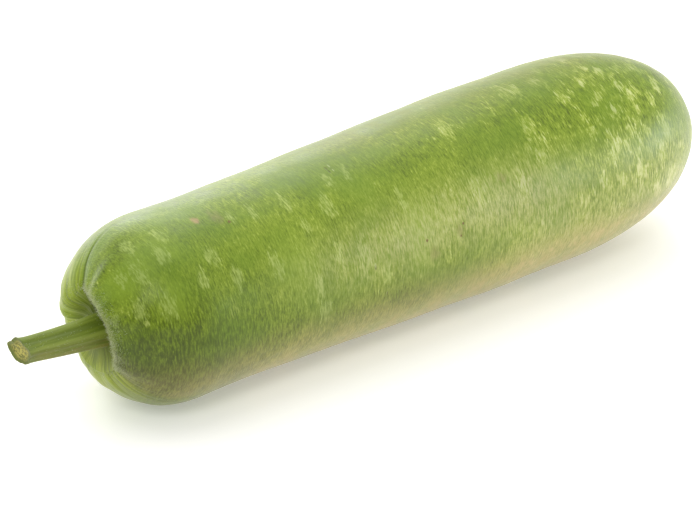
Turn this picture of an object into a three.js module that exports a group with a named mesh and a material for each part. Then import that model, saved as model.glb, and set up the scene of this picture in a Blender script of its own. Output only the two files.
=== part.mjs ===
// A whole bottle gourd lying on its side, with its cut stem.
// Millimetres, +Z up. +X runs from the stem end to the blossom end.
// The origin is on the resting surface, under the middle of the whole length.
import * as THREE from 'three';

// Fruit: lengths run along its axis from the crest of the stem-end lobes to the blossom end
const FRUIT_LENGTH = 317;
const BODY_STATIONS = [0, 0.2, 0.45, 0.7, 1];
const BODY_RADII = [39.4, 38.3, 41.4, 43.3, 43.1];
const SHOULDER_LENGTH = 37;
const SHOULDER_POWERS = [2.2, 1.46];
const BLOSSOM_LENGTH = 80;
const BLOSSOM_POWERS = [2.31, 2.31];

// Hollow round the stem, with the pocket that takes the stem's root
const RIM_RADIUS = 16;
const HOLLOW_FLOOR_RADIUS = 8.8;
const HOLLOW_DEPTH = 8;
const POCKET_RADIUS = 5.8;
const POCKET_DEPTH = 4;

// Creases part the stem end into three lobes. Angles start at the top and turn towards -Y.
const CREASE_ANGLES = [130, 245, 340];
const CREASE_DEPTH = 5;
const CREASE_REACH = 24;
const CREASE_FADE = 2;
const LOBE_FULLNESS = 0.45;
// How far each lobe stands back from the crest, starting after the first crease
const LOBE_SETBACKS = [2.7, 0, 0];

// Rest: the underside is level between two stations and flattened where it bears
const LEVEL_FROM = 0.3;
const LEVEL_TO = 0.8;
const REST_FLAT_DEPTH = 0.8;

// Stem
const STEM_LENGTH = 39;
const STEM_RISE = 3.4;
const STEM_RISE_POWER = 1.5;
const STEM_RADIUS = 6.5;
const STEM_CUT_RADIUS = 4.9;
const FOOT_FLARE = 1.1;
const FOOT_FLARE_POWER = 7;
const RIB_COUNT = 5;
const RIB_HEIGHT = 0.07;
const ROOT_RADIUS = 5.5;
const CUT_DISH = 0.6;
const GAP = 0.3;

// Facets
const FRUIT_SIDES = 72;
const FRUIT_STEPS = 40;
const HOLLOW_STEPS = 6;
const STEM_SIDES = 40;
const STEM_STEPS = 14;

// Smooth curve through the body radii, as one polynomial
function bodyRadius(share) {
  return BODY_RADII.reduce((sum, radius, i) => {
    let weight = 1;
    BODY_STATIONS.forEach((station, j) => {
      if (j !== i) weight *= (share - station) / (BODY_STATIONS[i] - station);
    });
    return sum + radius * weight;
  }, 0);
}

// Quarter of a superellipse: 0 at the end, 1 where the rounding is over.
// The first power shapes its meeting with the body, the second one its end.
function roundedEnd(distance, length, powers) {
  const left = Math.max(0, 1 - distance / length);
  return (1 - left ** powers[0]) ** (1 / powers[1]);
}

function fruitRadius(s) {
  const rim = RIM_RADIUS / BODY_RADII[0];
  const shoulder = rim + (1 - rim) * roundedEnd(s, SHOULDER_LENGTH, SHOULDER_POWERS);
  const blossom = roundedEnd(FRUIT_LENGTH - s, BLOSSOM_LENGTH, BLOSSOM_POWERS);
  return bodyRadius(s / FRUIT_LENGTH) * shoulder * blossom;
}

// Half outline from the pocket's floor, over the lobes' crest, to just short of the blossom end.
// crease is the share of the creases' depth that reaches each point.
function fruitOutline() {
  const points = [
    { s: HOLLOW_DEPTH + POCKET_DEPTH, r: POCKET_RADIUS, crease: 0 },
    { s: HOLLOW_DEPTH, r: POCKET_RADIUS, crease: 0 },
  ];
  for (let i = 0; i < HOLLOW_STEPS; i++) {
    const share = i / HOLLOW_STEPS;
    points.push({
      s: HOLLOW_DEPTH * Math.cos(Math.PI / 2 * share) ** 2,
      r: THREE.MathUtils.lerp(HOLLOW_FLOOR_RADIUS, RIM_RADIUS, share),
      crease: Math.sin(Math.PI / 2 * share),
    });
  }
  for (let i = 0; i < FRUIT_STEPS; i++) {
    const s = FRUIT_LENGTH / 2 * (1 - Math.cos(Math.PI * i / FRUIT_STEPS));
    points.push({ s, r: fruitRadius(s), crease: Math.max(0, 1 - s / CREASE_REACH) ** CREASE_FADE });
  }
  return points;
}

// Depth of the surface below the plain outline at one angle, where the creases are at their deepest
function lobeDepth(angle) {
  for (let i = 0; i < CREASE_ANGLES.length; i++) {
    const width = THREE.MathUtils.euclideanModulo(
      CREASE_ANGLES[(i + 1) % CREASE_ANGLES.length] - CREASE_ANGLES[i], 360);
    const into = THREE.MathUtils.euclideanModulo(angle - CREASE_ANGLES[i], 360);
    if (into < width) {
      const swell = Math.sin(Math.PI * into / width) ** LOBE_FULLNESS;
      return CREASE_DEPTH * (1 - swell) + LOBE_SETBACKS[i] * swell;
    }
  }
  return CREASE_DEPTH;
}

// Point at radius r and an angle from the top, round the axis
function around(s, r, degrees, rise = 0) {
  const angle = THREE.MathUtils.degToRad(degrees);
  return new THREE.Vector3(s, -r * Math.sin(angle), r * Math.cos(angle) + rise);
}

function ring(sides, pointAt) {
  return Array.from({ length: sides }, (_, j) => pointAt(360 * j / sides));
}

// Closed surface through rings that follow each other, with a middle point on each end
function closedSurface(rings, firstMiddle, lastMiddle) {
  const sides = rings[0].length;
  const points = [firstMiddle, ...rings.flat(), lastMiddle];
  const at = (i, j) => 1 + i * sides + j % sides;
  const index = [];
  for (let j = 0; j < sides; j++) {
    index.push(0, at(0, j + 1), at(0, j));
    for (let i = 0; i < rings.length - 1; i++) {
      index.push(at(i, j), at(i, j + 1), at(i + 1, j));
      index.push(at(i, j + 1), at(i + 1, j + 1), at(i + 1, j));
    }
    index.push(points.length - 1, at(rings.length - 1, j), at(rings.length - 1, j + 1));
  }
  const geometry = new THREE.BufferGeometry().setFromPoints(points);
  geometry.setIndex(index);
  return geometry;
}

function fruitGeometry() {
  const outline = fruitOutline();
  const rings = outline.map((point, i) => {
    const before = outline[Math.max(0, i - 1)];
    const after = outline[Math.min(outline.length - 1, i + 1)];
    const span = Math.hypot(after.s - before.s, after.r - before.r);
    const inward = { s: (after.r - before.r) / span, r: -(after.s - before.s) / span };
    return ring(FRUIT_SIDES, (angle) => {
      const depth = point.crease * lobeDepth(angle);
      return around(point.s + depth * inward.s, point.r + depth * inward.r, angle);
    });
  });
  const pocketFloor = new THREE.Vector3(HOLLOW_DEPTH + POCKET_DEPTH, 0, 0);
  const blossomTip = new THREE.Vector3(FRUIT_LENGTH, 0, 0);
  return closedSurface(rings, pocketFloor, blossomTip);
}

// Ribbed stem from its cut end to its foot, then the plain root in the pocket
function stemGeometry() {
  const foot = HOLLOW_DEPTH - GAP;
  const rings = [];
  for (let i = 0; i <= STEM_STEPS; i++) {
    const share = 1 - i / STEM_STEPS;
    const flare = FOOT_FLARE * (1 - share) ** FOOT_FLARE_POWER;
    const radius = THREE.MathUtils.lerp(STEM_RADIUS, STEM_CUT_RADIUS, share) + flare;
    const rise = STEM_RISE * share ** STEM_RISE_POWER;
    rings.push(ring(STEM_SIDES, (angle) => {
      const rib = 1 + RIB_HEIGHT * Math.cos(RIB_COUNT * THREE.MathUtils.degToRad(angle));
      return around(foot - share * STEM_LENGTH, radius * rib, angle, rise);
    }));
  }
  const rootEnd = foot + POCKET_DEPTH;
  rings.push(ring(STEM_SIDES, (angle) => around(foot, ROOT_RADIUS, angle)));
  rings.push(ring(STEM_SIDES, (angle) => around(rootEnd, ROOT_RADIUS, angle)));
  const cutMiddle = new THREE.Vector3(foot - STEM_LENGTH + CUT_DISH, 0, STEM_RISE);
  return closedSurface(rings, cutMiddle, new THREE.Vector3(rootEnd, 0, 0));
}

// Turn about Y that lays the underside level
function restAngle() {
  const climb = fruitRadius(LEVEL_TO * FRUIT_LENGTH) - fruitRadius(LEVEL_FROM * FRUIT_LENGTH);
  return -Math.atan2(climb, (LEVEL_TO - LEVEL_FROM) * FRUIT_LENGTH);
}

// Flatten the lowest part of the skin to one level, where the fruit bears on the surface
function flattenUnderside(geometry) {
  geometry.computeBoundingBox();
  const level = geometry.boundingBox.min.z + REST_FLAT_DEPTH;
  const position = geometry.attributes.position;
  for (let i = 0; i < position.count; i++) {
    position.setZ(i, Math.max(level, position.getZ(i)));
  }
  geometry.computeBoundingBox();
}

function namedMesh(name, geometry, color, roughness) {
  geometry.rotateY(restAngle());
  const material = new THREE.MeshStandardMaterial({ color, roughness, metalness: 0 });
  const mesh = new THREE.Mesh(geometry, material);
  mesh.name = name;
  return mesh;
}

const fruit = namedMesh('fruit', fruitGeometry(), 0x91a54e, 0.42);
flattenUnderside(fruit.geometry);
const stem = namedMesh('stem', stemGeometry(), 0x78823e, 0.6);

const gourd = new THREE.Group();
gourd.add(fruit, stem);
const box = new THREE.Box3().setFromObject(gourd);
const middle = box.getCenter(new THREE.Vector3());
gourd.position.set(-middle.x, -middle.y, -box.min.z);

export default gourd;
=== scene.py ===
# A bottle gourd lying on its side: its skin, stem and hairs, on a pale floor in soft light.
# Shapes are worked out in millimetres and written to the meshes in metres.
import math

import bpy
import numpy as np
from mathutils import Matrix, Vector


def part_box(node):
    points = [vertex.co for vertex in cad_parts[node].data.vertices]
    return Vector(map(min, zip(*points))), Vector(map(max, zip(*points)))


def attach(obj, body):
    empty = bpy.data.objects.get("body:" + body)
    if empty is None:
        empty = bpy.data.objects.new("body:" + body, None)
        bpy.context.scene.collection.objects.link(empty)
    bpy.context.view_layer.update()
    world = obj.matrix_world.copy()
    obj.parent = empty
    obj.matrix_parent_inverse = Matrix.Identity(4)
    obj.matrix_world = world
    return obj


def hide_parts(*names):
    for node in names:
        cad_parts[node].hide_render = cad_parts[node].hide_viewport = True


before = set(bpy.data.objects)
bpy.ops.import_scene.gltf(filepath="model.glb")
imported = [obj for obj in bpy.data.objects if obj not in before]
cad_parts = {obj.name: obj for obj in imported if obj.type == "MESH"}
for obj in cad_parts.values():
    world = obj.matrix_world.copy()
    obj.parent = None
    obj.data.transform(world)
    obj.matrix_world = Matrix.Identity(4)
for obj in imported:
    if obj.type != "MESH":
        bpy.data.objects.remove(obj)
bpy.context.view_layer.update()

MM = 0.001
WHITE = "ffffff"
SEED = 11
random = np.random.default_rng(SEED)

# Image frame and camera, in pixels, degrees and millimetres
IMAGE_WIDTH = 700
IMAGE_HEIGHT = 525
SENSOR_WIDTH = 36.0
CAMERA_AZIMUTH = -39.44
CAMERA_ELEVATION = 26.0
CAMERA_DISTANCE = 1000.0
CAMERA_TARGET = (-12.6, 0.0, 28.3)
FOCAL_PIXELS = 2422.6
# A pixel's surface point lies this close to its ray, and this little behind the nearest such point
PICK_MISS = 1.5
PICK_DEPTH = 6.0

# Fruit: lengths run along its axis from the crest of the stem-end lobes to the blossom end
FRUIT_LENGTH = 317.0
BODY_STATIONS = (0.0, 0.2, 0.45, 0.7, 1.0)
BODY_RADII = (39.4, 38.3, 41.4, 43.3, 43.1)
SHOULDER_LENGTH = 37.0
SHOULDER_POWERS = (2.2, 1.46)
BLOSSOM_LENGTH = 80.0
BLOSSOM_POWERS = (2.31, 2.31)
RIM_RADIUS = 16.0
HOLLOW_FLOOR_RADIUS = 8.8
HOLLOW_DEPTH = 8.0
# The underside is level between two shares of the length
LEVEL_FROM = 0.3
LEVEL_TO = 0.8
REST_FLAT_DEPTH = 0.8

# Creases part the stem end into three lobes. Angles start at the top and turn towards -Y.
CREASE_ANGLES = (130.0, 245.0, 340.0)
CREASE_DEPTH = 5.0
CREASE_REACH = 24.0
CREASE_FADE = 2.0
LOBE_FULLNESS = 0.45
LOBE_SETBACKS = (2.7, 0.0, 0.0)
# Degrees over which the look of one lobe gives way to the next
LOBE_CHANGE = 6.0

# The lobes' crest is rounded by a running mean: its width, place and span along the outline, and reach
CREST_ROUNDING = 2.2
CREST_ARC = RIM_RADIUS + HOLLOW_DEPTH / 2
CREST_SPAN = 12.0
MEAN_REACH = 3.0
# The creases are rounded too, in degrees, the first one more than the others
CREASE_ROUNDING = 3.2
SOFT_CREASE_ROUNDING = 6.0
SOFT_CREASE_SPAN = 25.0

# Lobes that run in to the stem with less of a hollow: share of the filling for each lobe, and its form
LOBE_FILLS = (1.0, 0.3, 0.0)
FILL_SLOPE = 0.24
FILL_BLEND = 1.6
FILL_FULLNESS = 0.6
FILL_RADIUS = 18.0
FILL_FADE = 6.0

# Folds: angle, depth, how far they run from the crest, and share of the painted shade along them
FOLDS = (
    (130.0, 0.12, 15.0, 0.2), (245.0, 0.45, 26.0, 0.5), (340.0, 0.45, 26.0, 0.75),
    (333.0, 0.1, 14.0, 0.3), (138.0, 0.24, 24.0, 0.5), (145.0, 0.18, 20.0, 0.6),
    (153.0, 0.16, 26.0, 0.45), (163.0, 0.1, 18.0, 0.3), (326.0, 0.08, 20.0, 0.2),
    (312.0, 0.07, 12.0, 0.25), (300.0, 0.07, 16.0, 0.2), (122.0, 0.06, 12.0, 0.15),
)
FOLD_WIDTH = 0.55
FOLD_SHADE_FADE = 0.7
# Wrinkles beside the creases
WRINKLE_HEIGHT = 0.07
WRINKLE_SPACING = 1.7
WRINKLE_BAND = 6.0
WRINKLE_SLANT = 0.35
# Fine ridges out of the hollow, and a second set of them: its height and number as shares of the first
HOLLOW_RIDGES = 53
HOLLOW_RIDGE_HEIGHT = 0.03
HOLLOW_REACH = 16.0
RIDGE_FADE = 1.5
RIDGE_BEND = 0.4
RIDGE_BEND_LENGTH = 9.0
SECOND_RIDGES = (0.6, 1.7)
# Puckers at the stem end, longer along the fruit than round it
PUCKER_HEIGHT = 0.35
PUCKER_LENGTH = 13.0
PUCKER_REACH = 24.0
PUCKER_SCALE = (0.5, 1.0, 1.0)
# Slight swellings and dimples all over, as sums of waves
SWELL_HEIGHT = 0.2
SWELL_LENGTH = 42.0
DIMPLE_HEIGHT = 0.03
DIMPLE_LENGTH = 7.0
WAVE_COUNT = 24
WAVE_RATES = (0.6, 1.3)
# Relief sets in between these radii
RELIEF_RADII = (3.0, 9.0)
# Scar of the flower
BLOSSOM_SCAR_RADIUS = 5.0
BLOSSOM_SCAR_DEPTH = 1.1
BLOSSOM_NAVEL_RADIUS = 1.8
BLOSSOM_NAVEL_HEIGHT = 0.9

# Points of the outline that the mesh is taken from, its first radius, and the half turn that spaces it
OUTLINE_POINTS = 6000
HOLLOW_POINTS = 1500
FLOOR_POINTS = 750
FIRST_RADIUS = 0.5
LAST_TURN = 0.9975
# Mesh steps: fine at the stem end, coarse on the body, closer at the blossom end
FRUIT_SIDES = 340
FINE_STEP = 0.68
COARSE_STEP = 1.9
FINE_SPAN = 62.0
STEP_CHANGE = 30.0
TIP_STEP_SHARE = 0.25
# Margin of the texture coordinates at both ends of a piece
UV_EDGE = 0.01

# Stem
STEM_LENGTH = 39.0
STEM_RISE = 3.4
STEM_RISE_POWER = 1.5
STEM_RADIUS = 6.5
STEM_CUT_RADIUS = 4.9
FOOT_FLARE = 1.1
FOOT_FLARE_POWER = 7.0
RIB_COUNT = 5
RIB_HEIGHT = 0.07
FINE_RIB_COUNT = 15
FINE_RIB_HEIGHT = 0.012
FINE_RIB_TURN = 1.0
STEM_SIDES = 180
STEM_RINGS = 150
STEM_FACE_RINGS = 24
STEM_SINK = 2.5
# Slant of the stem's cut, whose lower front side is cut back, and the dish in its face
CUT_SLANT = 3.0
CUT_SLANT_ANGLE = 115.0
CUT_DISH = 0.7
CUT_DISH_POWER = 4
FACE_SHARES = (0.04, 0.97)
# Lip that flares out round the cut, with notches
LIP_FLARE = 0.12
LIP_LENGTH = 1.6
LIP_NOTCHES = 4
NOTCH_DEPTH = 0.5
# Length of the bruised stretch beside the cut, and turn of the scuffed underside, in radians
BRUISE_LENGTH = 6.0
SCUFF_TURN = 0.5

# Hairs: how many, their form, and where they stand on the fruit, beyond the crest of the lobes
SKIN_HAIRS = 2200
STEM_HAIRS = 500
SKIN_HAIR_LENGTHS = (0.6, 1.5)
STEM_HAIR_LENGTHS = (0.4, 0.9)
HAIR_RADIUS = 0.04
HAIR_SINK = 0.1
HAIR_SPREAD = 0.35
HAIR_OFFSET = 1.0
HAIR_BAND = 3.4
HAIR_LOSS = 0.8

# Marks on the skin: pixel across, pixel down, radius in millimetres
PALE_BLOTCHES = (
    (511, 91, 4.6), (506, 93, 3.6), (517, 90, 3.4), (528, 128, 4.4), (530, 122, 3.2), (444, 123, 2.6),
    (447, 131, 3.4), (541, 153, 3.0), (523, 178, 3.2), (523, 186, 2.8), (478, 190, 4.6), (614, 150, 3.4),
    (619, 144, 2.0), (590, 131, 3.0), (634, 128, 2.6), (561, 98, 2.8), (531, 81, 2.2), (556, 60, 3.0),
    (584, 67, 2.4), (581, 80, 2.2), (599, 73, 3.0), (616, 69, 2.2), (629, 66, 2.6), (621, 88, 2.6),
    (629, 96, 2.6), (599, 96, 2.4), (656, 86, 3.0), (651, 98, 2.8), (664, 120, 3.4), (667, 130, 3.2),
    (662, 154, 4.2), (639, 171, 3.0), (624, 178, 2.6), (604, 181, 2.4), (583, 118, 1.8), (614, 111, 1.8),
    (594, 103, 1.8), (636, 106, 2.0), (672, 178, 4.4), (656, 190, 4.0),
)
FAINT_STROKES = (
    (284, 203, 2.6), (276, 265, 3.2), (237, 277, 2.8), (215, 258, 2.4), (327, 204, 3.0), (327, 181, 2.2),
    (399, 197, 2.2), (304, 227, 2.2), (336, 250, 2.8), (364, 255, 3.6), (396, 233, 3.4), (322, 291, 2.6),
    (326, 311, 3.2), (390, 275, 2.8), (231, 218, 2.0), (252, 210, 2.2), (208, 256, 2.0), (203, 279, 2.4),
    (346, 171, 2.4), (158, 236, 2.4), (401, 202, 2.2), (125, 246, 3.0), (160, 255, 3.0), (138, 273, 3.4),
    (119, 279, 2.6), (140, 313, 3.4), (169, 307, 3.2), (115, 323, 2.4),
)
# Lime patches: partly the skin's own colour, partly painted light on lobes the lamps leave in shade
LIME_AND_PAINTED_LIGHT_PATCHES = (
    (123, 287, 11.0), (158, 244, 9.0), (137, 266, 9.0), (300, 262, 14.0), (170, 300, 9.0), (420, 225, 12.0),
)
# Patches of painted shade at the stem end
PAINTED_SHADE_PATCHES = ((104, 264, 8.0), (117, 247, 9.0), (140, 342, 7.0), (115, 325, 6.0))
BROWN_PATCHES = ((216, 216, 4.4), (503, 178, 2.6), (437, 252, 3.6), (462, 230, 3.0))
PINK_SCARS = ((195, 221, 2.6),)
# Marks and strokes are this much longer round the fruit than along it
MARK_STRETCH = 1.5
STROKE_STRETCH = 2.4
# Small dots and scratches: pixel across, pixel down, half length along the fruit and round it
DARK_DOTS = ((429, 241, 0.6, 0.65), (462, 224, 0.55, 0.6), (461, 236, 0.45, 0.5), (228, 222, 0.6, 0.9))
SCRATCHES = ((325, 169, 0.55, 1.3), (330, 171, 0.45, 1.1), (374, 268, 0.55, 1.3), (388, 293, 0.45, 1.0))
SCRATCH_LIPS = ((328, 167, 0.4, 1.2), (377, 266, 0.45, 1.2), (333, 170, 0.35, 0.9))

# Soft areas: stations they start and end between, middle angle, spread in degrees, and share. The flank
# area is a painted highlight, the blossom area is paler skin with a painted highlight, and the two shades
# are painted shade.
# Painted highlight along the front flank
PAINTED_FLANK_HIGHLIGHT = ((45.0, 125.0), (180.0, 235.0), 72.0, 21.0, 1.0)
# Paler skin with a painted highlight at the blossom end
BLOSSOM_PALE_AND_PAINTED_HIGHLIGHT = ((150.0, 225.0), (290.0, 315.0), 98.0, 30.0, 0.9)
# Painted shade at the stem end and along the lower flank
STEM_END_SHADE = ((-30.0, -20.0), (15.0, 105.0), 106.0, 50.0, 1.0)
LOW_SHADE = ((40.0, 115.0), (120.0, 180.0), 108.0, 17.0, 0.5)
BLEACHED_TOP = ((60.0, 150.0), (400.0, 500.0), -10.0, 22.0, 1.0)
# Heights between which the skin turns pale towards the underside: partly a pale ground spot, partly painted
# bounce light from the floor
UNDER_HEIGHTS = (42.0, 11.0)
# The pale underside starts at this share, and gains more over two spans of stations
UNDER_START = 0.45
UNDER_GAINS = ((0.55, (0.0, 90.0)), (0.7, (130.0, 210.0)))
# It loses this share on the lobes away from the camera, up to a span of stations
UNDER_LOBE_LOSS = 0.7
UNDER_LOBE_SPAN = (15.0, 70.0)
# Radii between which painted shade darkens the hollow towards the stem, and width of the change at its edge
HOLLOW_SHADE_RADII = (15.0, 8.5)
HOLLOW_EDGE = 4.0
# Pale edge on the crest, fine fuzz with a painted sheen: how far beyond it, and its width
FUZZ_AND_SHEEN_OFFSET = 0.5
FUZZ_AND_SHEEN_BAND = 1.3
# Length over which the skin is downy at the stem end, and stations between which it turns speckled
DOWNY_REACH = 45.0
RIPE_SPAN = (140.0, 260.0)

# Noises of the skin: grain along the fruit and round it in millimetres, detail, roughness, shift
SKIN_NOISES = {
    "tone": ((60.0, 30.0), 3, 0.55),
    "patch": ((9.0, 15.0), 4, 0.6, 3.1),
    "streak": ((0.65, 3.2), 3, 0.6, 1.3),
    "grain": ((0.4, 1.0), 2, 0.5, 5.9),
    "edge": ((2.0, 5.0), 4, 0.65, 2.2),
    "fleck": ((5.5, 9.0), 2, 0.5, 9.4),
    "green": ((30.0, 22.0), 2, 0.5, 7.7),
    "radial": ((14.0, 1.5), 3, 0.6, 4.4),
}
# The skin's lightness: weights of its noises, what the speckled end adds, and what each mark adds
LIGHTNESS_WEIGHTS = (("tone", 0.35), ("patch", 0.35), ("streak", 0.85), ("grain", 0.45))
RIPE_WEIGHTS = (("streak", 0.38), ("edge", 0.4))
FLECK_WEIGHTS = (("fleck", 1.0), ("edge", 0.5), ("streak", 0.4))
FLECK_RANGE = (0.66, 0.84)
RIPE_FLECKS = 0.14
# Of these gains, light is painted highlight with paler skin at the blossom end, and dark and shade are
# painted shade
LIGHTNESS_GAINS = (
    ("fleck", 0.2), ("pale", 0.23), ("faint", 0.1), ("light", 0.08), ("dark", -0.14), ("shade", -0.14),
)
# Marks with ragged edges: noises that break up the edge, range of the mark, and shares at both its ends
RAGGED_MARKS = {
    "pale": ((("edge", 2.2), ("streak", 1.4)), (-0.3, 0.6, 0.0, 1.0)),
    "faint": ((("edge", 2.2), ("streak", 1.4)), (-0.1, 0.7, 0.0, 1.0)),
    # Patches of painted shade
    "dark": ((("patch", 1.0),), (-0.1, 0.9, 0.0, 1.0)),
    # Lime patches, partly painted light
    "lime_and_painted_light": ((("patch", 0.8), ("streak", 0.5)), (-0.2, 1.0, 0.0, 0.38)),
    "brown": ((("edge", 2.0), ("streak", 0.8)), (0.1, 0.9, 0.0, 0.5)),
    "scar": ((("edge", 0.6),), (0.35, 0.8, 0.0, 0.85)),
    "pink": ((("edge", 1.4),), (0.1, 0.8, 0.0, 0.6)),
}
# Shares of layers that come and go with a noise: range of the noise, and shares at both its ends
GREEN_SHARE = (0.42, 0.66, 0.0, 0.5)
SHADE_SHARE = (0.35, 0.65, 0.8, 0.4)
BLEACH_SHARE = (0.35, 0.65, 0.2, 0.4)
STROKE_SHARE = (0.35, 0.6, 0.05, 0.2)
# Share of the painted highlight, with paler skin at the blossom end
PAINTED_HIGHLIGHT_AND_PALE_SHARE = (0.3, 0.7, 0.1, 0.5)
# Share of the painted shade in the hollow
HOLLOW_SHADE_SHARE = (0.3, 0.65, 0.75, 0.45)
# Share of the pale crest edge, fuzz with a painted sheen
FUZZ_AND_SHEEN_SHARE = (0.3, 0.6, 0.15, 0.42)
UNDER_WEIGHTS = (("patch", 1.0), ("streak", 1.0))
UNDER_SHARE = (0.2, 0.8, 0.3, 0.75)
# Shares of plain layers
HOLLOW_SHARE = 0.8
SCRATCH_SHARE = 0.6
LIP_SHARE = 0.4
DOT_SHARE = 0.8

# Colours of the skin from dark to pale grain, of the streaks round the stem, and of each layer
SKIN_TONES = (
    (0.15, "48560a"), (0.35, "60750f"), (0.5, "738a18"), (0.65, "8a9c2e"), (0.8, "a4b052"), (1.0, "c0c784"),
)
HOLLOW_TONES = ((0.3, "576b11"), (0.5, "93a52f"), (0.7, "b1bc4b"))
GREEN_TONE = "628012"
# Painted shade
SHADE_TONE = "333c08"
BLEACH_TONE = "7d7644"
# Lime, partly painted light
LIME_AND_PAINTED_LIGHT_TONE = "8aa230"
STROKE_TONE = "b6c184"
# Painted highlight on the flank, and paler skin with a painted highlight at the blossom end
PAINTED_HIGHLIGHT_AND_PALE_TONE = "b4ac7e"
# Painted shade in the hollow round the stem
HOLLOW_SHADE_TONE = "3d4a12"
# Painted shade in the folds
FOLD_SHADE_TONE = "3f4a1a"
# Pale crest edge: fuzz with a painted sheen
FUZZ_AND_SHEEN_TONE = "a6ad74"
BROWN_TONE = "85804a"
CORK_TONE = "8d7a4c"
PINK_TONE = "b08a66"
SCRATCH_TONE = "4c4c1c"
LIP_TONE = "bcc58a"
DOT_TONE = "643f22"
# Pale ground spot with painted bounce light from the floor
UNDERSIDE_SPOT_AND_BOUNCE_TONE = "b8a070"

# Gloss and fine bump of the skin. Sheen: weight, roughness, tint. Bump: distance in metres, strength.
SKIN_ROUGHNESS = (0.35, 0.7, 0.32, 0.42)
DOWNY_ROUGHNESS = 0.2
SKIN_SPECULAR = 0.28
SKIN_SHEEN = (0.36, 0.35, "f3eedd")
SKIN_BUMP = (0.00016, 0.6)
STREAK_BUMP = 1.0
GRAIN_BUMP = 0.5
SCRATCH_BUMP = -1.0
LIP_BUMP = 0.6

# Noises, layers and gloss of the stem, given as for the skin
STEM_NOISES = {
    "fibre": ((26.0, 1.2), 3, 0.55),
    "scuff": ((14.0, 2.2), 4, 0.6, 3.3),
    "bruise": ((3.0, 2.0), 3, 0.6, 8.8),
    "pith": ((1.0, 1.0), 4, 0.65, 2.7),
}
FIBRE_RANGE = (0.36, 0.66)
FIBRE_TONES = ("5d6d15", "748427")
GROOVE_SHARE = (-1.0, 0.2, 0.45, 0.0)
GROOVE_TONE = "59691f"
RIB_SHARE = (0.6, 1.0, 0.0, 0.4)
RIB_TONE = "909e4c"
SCUFF_SHARE = (0.35, 0.65, 0.1, 0.6)
SCUFF_TONE = "7f7340"
BRUISE_SHARE = (0.4, 0.6, 0.1, 0.7)
BRUISE_TONE = "56662a"
PITH_RANGE = (0.4, 0.62)
PITH_TONES = ("62641a", "aea546")
BARK_WEIGHTS = (("pith", 0.8),)
BARK_SHARE = (0.6, 0.9, 0.0, 0.8)
BARK_TONE = "4b5e18"
STEM_ROUGHNESS = 0.5
STEM_SPECULAR = 0.35
STEM_SHEEN = (0.15, 0.35, "eef2d8")
STEM_BUMP = (0.0002, 0.4)

# Hair, from root to tip
HAIR_TONES = ("a9b37a", "dde0c4")
HAIR_ROUGHNESS = 0.6

# Pale floor that gives a little light of its own. Grain, size and drop are in metres.
FLOOR_TONES = ("f4f3f0", "f7f6f3")
FLOOR_GRAIN = (0.3, 0.3)
FLOOR_ROUGHNESS = 0.9
FLOOR_GLOW = 0.25
FLOOR_SIZE = 12.0
FLOOR_DROP = 0.0002

# Soft lights: name, place, target and size in metres, power in watts, and colour unless white
LIGHTS = (
    ("top", (0.0, 0.3, 1.25), (0.0, 0.0, 0.04), (1.6, 1.4), 9.5),
    ("back", (-0.2, 1.4, 0.36), (0.0, 0.0, 0.05), (2.3, 0.72), 7.5),
    ("back_left", (0.6, 1.45, 0.8), (-0.05, 0.0, 0.05), (0.9, 0.8), 6.8),
    ("right", (0.8, -0.4, 0.08), (0.15, 0.0, 0.05), (0.5, 0.26), 2.5, "e9f0fb"),
    ("front", (0.75, -0.75, 0.13), (0.1, 0.0, 0.05), (0.5, 0.24), 1.3),
    ("key", (0.4, -0.95, 0.95), (0.0, 0.0, 0.04), (1.6, 1.6), 3.8),
    ("left", (-0.74, -0.63, 0.88), (-0.12, 0.0, 0.05), (0.4, 0.4), 4.0),
    ("upper_left", (0.14, 0.16, 0.33), (-0.06, 0.0, 0.08), (0.22, 0.14), 0.21),
    ("stem_side", (-0.95, 0.4, 0.22), (-0.15, 0.0, 0.04), (0.6, 0.4), 1.0),
)
# The studio is brighter on one side: direction, range of the turn towards it, strength at both its ends
BRIGHT_SIDE = (0.88, 0.4, 0.25)
AMBIENT_RANGE = (-1.0, 0.9, 0.1, 0.75)

# Sockets of the colour mix node and of the map range node
MIX_FIRST = 6
MIX_SECOND = 7
MIX_RESULT = 2
RANGE_SOCKETS = ("From Min", "From Max", "To Min", "To Max")


# Small helpers

def linear(code):
    """Linear colour of a six-digit sRGB code."""
    channels = [int(code[i:i + 2], 16) / 255 for i in (0, 2, 4)]
    return tuple(c / 12.92 if c <= 0.04045 else ((c + 0.055) / 1.055) ** 2.4 for c in channels) + (1.0,)


def rise(values, low, high):
    """Share of the way from one bound to the other, from 0 to 1."""
    return np.clip((values - low) / (high - low), 0, 1)


def smooth(values, low, high):
    """The same share with soft ends."""
    share = rise(values, low, high)
    return share * share * (3 - 2 * share)


def fading(distance, reach):
    """1 at no distance, falling evenly to 0 at the reach."""
    return np.clip(1 - distance / reach, 0, 1)


def gap_degrees(angle, other):
    """Signed turn from one angle to another, in degrees."""
    return (angle - other + 180) % 360 - 180


def side_angles(sides):
    """Angles of the points of one ring, in degrees."""
    return np.arange(sides) * 360.0 / sides


def waves(where, length):
    """Smooth random field from -1 to 1 or so, with bumps about as long as the length given."""
    field = np.zeros(where.shape[:-1])
    for _ in range(WAVE_COUNT):
        direction = random.normal(size=3)
        direction *= random.uniform(*WAVE_RATES) / np.linalg.norm(direction)
        field += np.cos(where @ direction * 2 * np.pi / length + random.uniform(0, 2 * np.pi))
    return field / math.sqrt(WAVE_COUNT)


def add_object(name, data):
    """New object in the scene."""
    made = bpy.data.objects.new(name, data)
    bpy.context.scene.collection.objects.link(made)
    return made


# The fruit's plain form

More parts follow.
